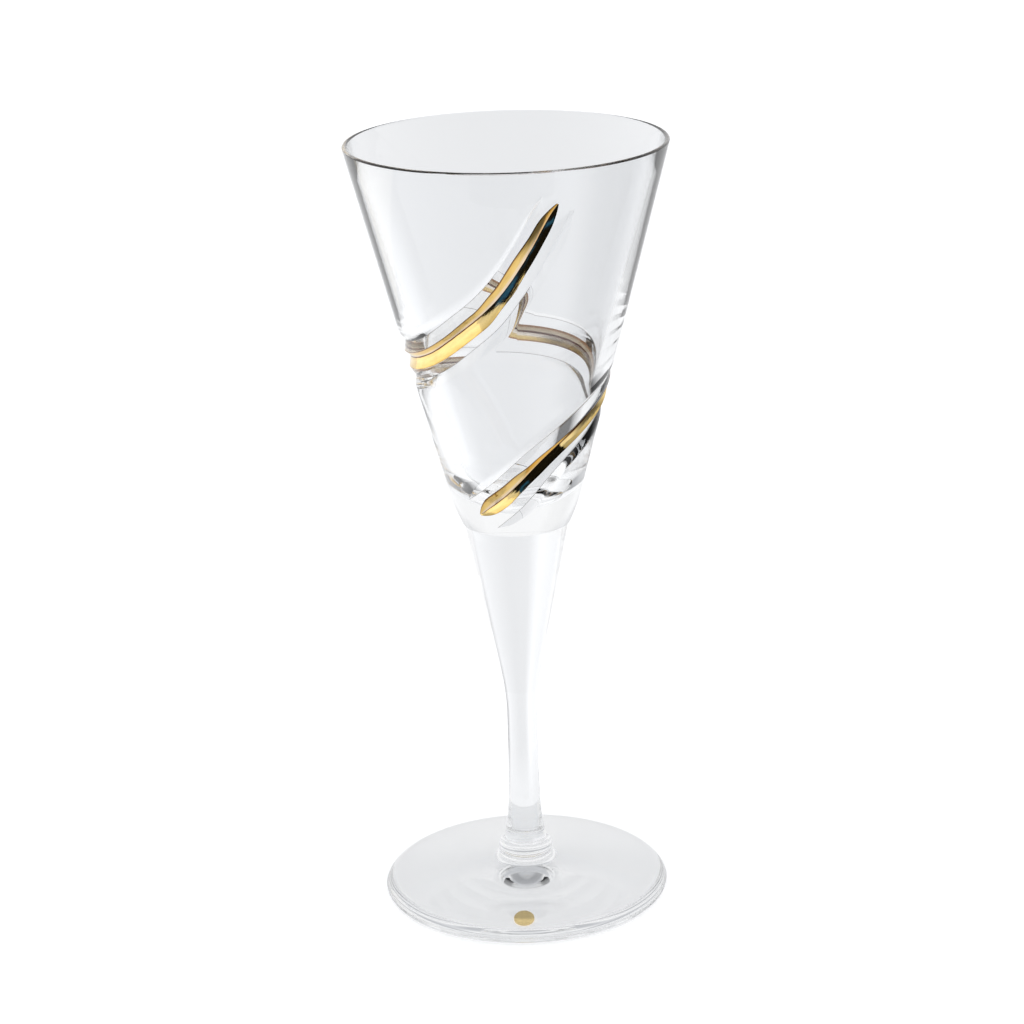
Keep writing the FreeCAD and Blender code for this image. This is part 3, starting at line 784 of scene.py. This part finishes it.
bpy.ops.object.select_all(action="DESELECT")
bpy.ops.mesh.primitive_circle_add(vertices=96, radius=0.5, fill_type="TRIFAN")
seal = bpy.context.object
seal.name = seal.data.name = "fired_gold_seal"
bpy.ops.object.mode_set(mode="EDIT")
bpy.ops.transform.resize(value=(SEAL_WIDTH, SEAL_LENGTH, 1))
bpy.ops.transform.translate(value=(*SEAL_PLACE, 0))
bpy.ops.mesh.subdivide(number_cuts=2)
bpy.ops.mesh.extrude_region_move(TRANSFORM_OT_translate={"value": (0, 0, SEAL_THICKNESS)})
bpy.ops.mesh.select_all(action="SELECT")
bpy.ops.mesh.normals_make_consistent(inside=False)
bpy.ops.object.mode_set(mode="OBJECT")
drop = HOLLOW_CURVE - HOLLOW_HEIGHT
for vertex in seal.data.vertices:
    out = Vector(vertex.co[:2]).length
    vertex.co.z += math.sqrt(HOLLOW_CURVE**2 - out**2) - drop - SEAL_THICKNESS + SEAL_SINK
seal_uv = seal.data.uv_layers.new(name="along_and_across")
for loop in seal.data.loops:
    place = seal.data.vertices[loop.vertex_index].co
    across = SEAL_ACROSS + (place.y - SEAL_PLACE[1]) * SEAL_SPREAD
    seal_uv.data[loop.index].uv = (place.x / SEAL_WIDTH * SEAL_ALONG, across)
seal.data.materials.append(bright_gold)
bpy.ops.object.shade_smooth_by_angle(angle=TURNED_EDGE_ANGLE)
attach(seal, "root")
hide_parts("gold_seal")

# ================================================================ light
# A white studio: everything round the glass glows, most of all low down and behind it. Sheets
# that only polished things mirror stand round it: a dark curtain in front with a thin blue strip
# of light before it, and a low softbox to the left.
# How high a direction points, from level or lower (0) to straight up (1), and how bright the
# studio is there. FRONT_SHARE is how much of that is left straight in front.
STUDIO_TONES = [
    (0.0, (1, 1, 1)), (0.25, (1, 1, 1)), (0.5, (0.65, 0.66, 0.68)), (0.7, (0.55, 0.56, 0.58)),
    (1.0, (0.6, 0.61, 0.63)),
]
FRONT_SHARE = 0.5
CURTAIN_STEPS = 24

world = bpy.data.worlds.new("white_studio")
bpy.context.scene.world = world
world.use_nodes = True
nodes, links = world.node_tree.nodes, world.node_tree.links
background = nodes["Background"]
place = nodes.new("ShaderNodeTexCoord")
split = nodes.new("ShaderNodeSeparateXYZ")
links.new(place.outputs["Generated"], split.inputs["Vector"])
height_ramp = nodes.new("ShaderNodeValToRGB")
for position, _ in STUDIO_TONES[1:-1]:
    height_ramp.color_ramp.elements.new(position)
for mark, (_, colour) in zip(height_ramp.color_ramp.elements, STUDIO_TONES):
    mark.color = (*colour, 1)
links.new(split.outputs["Z"], height_ramp.inputs["Fac"])
front_back = nodes.new("ShaderNodeMapRange")
front_back.inputs["From Min"].default_value = -0.9
front_back.inputs["From Max"].default_value = 0.3
front_back.inputs["To Min"].default_value = FRONT_SHARE
front_back.inputs["To Max"].default_value = 1.0
links.new(split.outputs["Y"], front_back.inputs["Value"])
shade = nodes.new("ShaderNodeMix")
shade.data_type = "RGBA"
shade.blend_type = "MULTIPLY"
shade.inputs["Factor"].default_value = 1.0
links.new(height_ramp.outputs["Color"], shade.inputs["A"])
links.new(front_back.outputs["Result"], shade.inputs["B"])
rays = nodes.new("ShaderNodeLightPath")
seen = nodes.new("ShaderNodeMix")
seen.data_type = "RGBA"
links.new(rays.outputs["Is Camera Ray"], seen.inputs["Factor"])
links.new(shade.outputs["Result"], seen.inputs["A"])
seen.inputs["B"].default_value = (1, 1, 1, 1)
links.new(seen.outputs["Result"], background.inputs["Color"])
background.inputs["Strength"].default_value = 1.0


def curtain(name, distance, left_from, left_to, low, high, colour, glow):
    """An upright curved sheet at a distance from the axis, between two turns (degrees to the left
    of the front) and two heights, that only polished things mirror."""
    points = []
    for i in range(CURTAIN_STEPS + 1):
        turn = math.radians(left_from + (left_to - left_from) * i / CURTAIN_STEPS)
        for height in (low, high):
            points.append((-distance * math.sin(turn), -distance * math.cos(turn), height))
    faces = [(2 * i, 2 * i + 1, 2 * i + 3, 2 * i + 2) for i in range(CURTAIN_STEPS)]
    sheet = mesh_piece(name, points, faces)
    cloth = bpy.data.materials.new(name)
    cloth.use_nodes = True
    shader = cloth.node_tree.nodes["Principled BSDF"]
    shader.inputs["Base Color"].default_value = (0.01, 0.01, 0.01, 1)
    shader.inputs["Roughness"].default_value = 1.0
    shader.inputs["Specular IOR Level"].default_value = 0.0
    shader.inputs["Emission Color"].default_value = (*colour, 1)
    shader.inputs["Emission Strength"].default_value = glow
    sheet.data.materials.append(cloth)
    sheet.visible_camera = False
    sheet.visible_diffuse = False
    sheet.visible_transmission = False
    sheet.visible_shadow = False


curtain("dark_curtain", 0.3, -36, 46, 0.0, 0.3, (0, 0, 0), 0.0)
curtain("blue_strip", 0.295, 24, 46, 0.1, 0.12, (0.03, 0.26, 1.0), 0.4)
curtain("low_softbox", 0.32, 52, 135, 0.02, 0.17, (1, 0.97, 0.9), 1.5)

# ================================================================ camera
# The glass is seen from above the rim, from the front, with a long lens.
CAMERA_PLACE = (-1.09 * MM, -690 * MM, 334.5 * MM)
CAMERA_DOWN = math.radians(18.48)
CAMERA_ROLL = math.radians(-1.68)
CAMERA_LENS = 100.1
SENSOR_WIDTH = 36
view = bpy.data.cameras.new("camera")
view.lens = CAMERA_LENS
view.sensor_width = SENSOR_WIDTH
view.clip_start = 0.01
view.clip_end = 50
camera = bpy.data.objects.new("camera", view)
camera.location = CAMERA_PLACE
tilt = Matrix.Rotation(math.radians(90) - CAMERA_DOWN, 3, "X") @ Matrix.Rotation(CAMERA_ROLL, 3, "Z")
camera.rotation_euler = tilt.to_euler()
bpy.context.scene.collection.objects.link(camera)
bpy.context.scene.camera = camera
bpy.context.scene.view_settings.view_transform = "Standard"
# Light passes many walls on its way through the glass.
paths = bpy.context.scene.cycles
paths.max_bounces = 32
paths.transmission_bounces = 32
paths.glossy_bounces = 16
paths.transparent_max_bounces = 32
